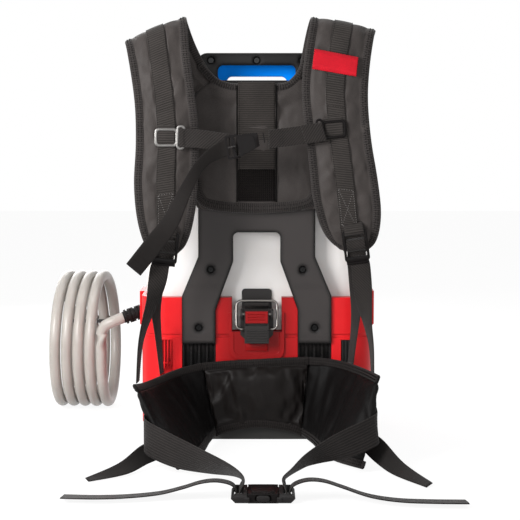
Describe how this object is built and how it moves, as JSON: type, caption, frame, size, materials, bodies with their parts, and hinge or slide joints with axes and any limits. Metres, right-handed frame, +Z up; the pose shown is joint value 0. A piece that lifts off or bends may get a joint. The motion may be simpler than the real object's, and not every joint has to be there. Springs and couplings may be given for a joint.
{
  "type": "backpack sprayer",
  "caption": "Battery backpack sprayer: translucent tank latched on a pump base, moulded carry frame, padded harness and a coiled outlet hose.",
  "frame": {"origin": "centre of the base's flat underside", "axes": "+Z up, -Y towards the wearer's back and the harness, +X to the right when looking along +Y at the harness"},
  "size_m": [0.6124, 0.9268, 0.6526],
  "materials": {
    "red_plastic": "satin moulded red plastic",
    "black_plastic": "finely textured black plastic",
    "black_fitting": "smooth black plastic",
    "tank_plastic": "natural translucent polyethylene",
    "blue_plastic": "satin blue plastic",
    "steel": "bright zinc plated steel",
    "pad_fabric": "black padded mesh fabric",
    "webbing": "black woven webbing",
    "hose": "clear grey vinyl hose",
    "seal": "black rubber",
    "board": "green circuit board",
    "motor_steel": "plated steel"
  },
  "bodies": {
    "base": {"base_shell": "red_plastic", "base_tray": "black_plastic", "harness_frame": "black_plastic", "frame_rear_cover": "black_plastic", "frame_screws": "steel", "strap_anchor_left": "black_fitting", "strap_anchor_right": "black_fitting", "latch_bracket": "black_fitting", "latch_pin": "steel", "tank_shell": "tank_plastic", "tank_keeper": "black_fitting", "tank_handle": "blue_plastic", "tank_valve": "black_fitting", "valve_socket": "black_fitting", "pump_head": "black_fitting", "pump_motor": "motor_steel", "control_board": "board", "battery_pack": "black_fitting", "door_hinge_pin": "steel", "outlet_fitting": "black_fitting", "strain_relief": "seal", "hose_lead": "hose", "hose_coil": "hose", "hose_tie": "webbing", "hose_coupling": "black_fitting", "back_yoke": "pad_fabric", "yoke_webbing": "webbing", "loop_patch": "webbing", "shoulder_strap_left": "pad_fabric", "shoulder_strap_right": "pad_fabric", "shoulder_webbing_left": "webbing", "shoulder_webbing_right": "webbing", "ladder_lock_left": "black_fitting", "ladder_lock_right": "black_fitting", "lower_webbing_left": "webbing", "lower_webbing_right": "webbing", "sternum_strap_left": "webbing", "sternum_strap_right": "webbing", "sternum_tail": "webbing", "sternum_fittings": "steel", "sternum_buckle": "black_fitting", "lumbar_pad": "pad_fabric", "hip_wing_left": "pad_fabric", "hip_wing_right": "pad_fabric", "waist_webbing_left": "webbing", "waist_webbing_right": "webbing", "waist_buckle": "black_fitting", "waist_tails": "webbing", "wing_tails": "webbing"},
    "lever": {"latch_lever": "black_fitting"},
    "bail": {"latch_bail": "steel"},
    "lock": {"latch_lock": "red_plastic"},
    "seal": {"cap_gasket": "seal", "fill_strainer": "black_fitting"},
    "cap": {"fill_cap": "black_fitting"},
    "door": {"battery_door": "black_fitting"},
    "dial": {"pressure_dial": "black_fitting"},
    "button": {"power_button": "red_plastic"},
    "rotor": {"motor_rotor": "motor_steel"}
  },
  "joints": [
    {"name": "latch_lever_turn", "type": "hinge", "parent": "base", "child": "lever", "pos_m": [0, -0.1356, 0.195], "axis": [-1, 0, 0], "range_deg": [0, 100]},
    {"name": "latch_bail_swing", "type": "hinge", "parent": "lever", "child": "bail", "pos_m": [0, -0.1346, 0.172], "axis": [-1, 0, 0], "range_deg": [-100, 0]},
    {"name": "latch_lock_slide", "type": "slide", "parent": "lever", "child": "lock", "axis": [0, 0, -1], "range_m": [0, 0.004], "stiffness_N_per_m": 300},
    {"name": "strainer_lift", "type": "slide", "parent": "base", "child": "seal", "axis": [0, 0, 1], "range_m": [0, 0.12]},
    {"name": "cap_turn", "type": "hinge", "parent": "seal", "child": "cap", "pos_m": [0, 0.003, 0.53], "axis": [0, 0, 1], "range_deg": [0, 360]},
    {"name": "battery_door_swing", "type": "hinge", "parent": "base", "child": "door", "pos_m": [0.085, 0.127, 0.026], "axis": [-1, 0, 0], "range_deg": [0, 100]},
    {"name": "pressure_dial_turn", "type": "hinge", "parent": "base", "child": "dial", "pos_m": [-0.06, 0.128, 0.14], "axis": [0, 1, 0], "range_deg": [0, 270]},
    {"name": "power_button_press", "type": "slide", "parent": "base", "child": "button", "axis": [0, -1, 0], "range_m": [0, 0.0015], "stiffness_N_per_m": 800},
    {"name": "rotor_spin", "type": "hinge", "parent": "base", "child": "rotor", "pos_m": [-0.06, 0.023, 0.07], "axis": [1, 0, 0], "continuous": true}
  ],
  "couplings": [
    {"joint": "latch_bail_swing", "follows": "latch_lever_turn", "ratio": -1}
  ]
}
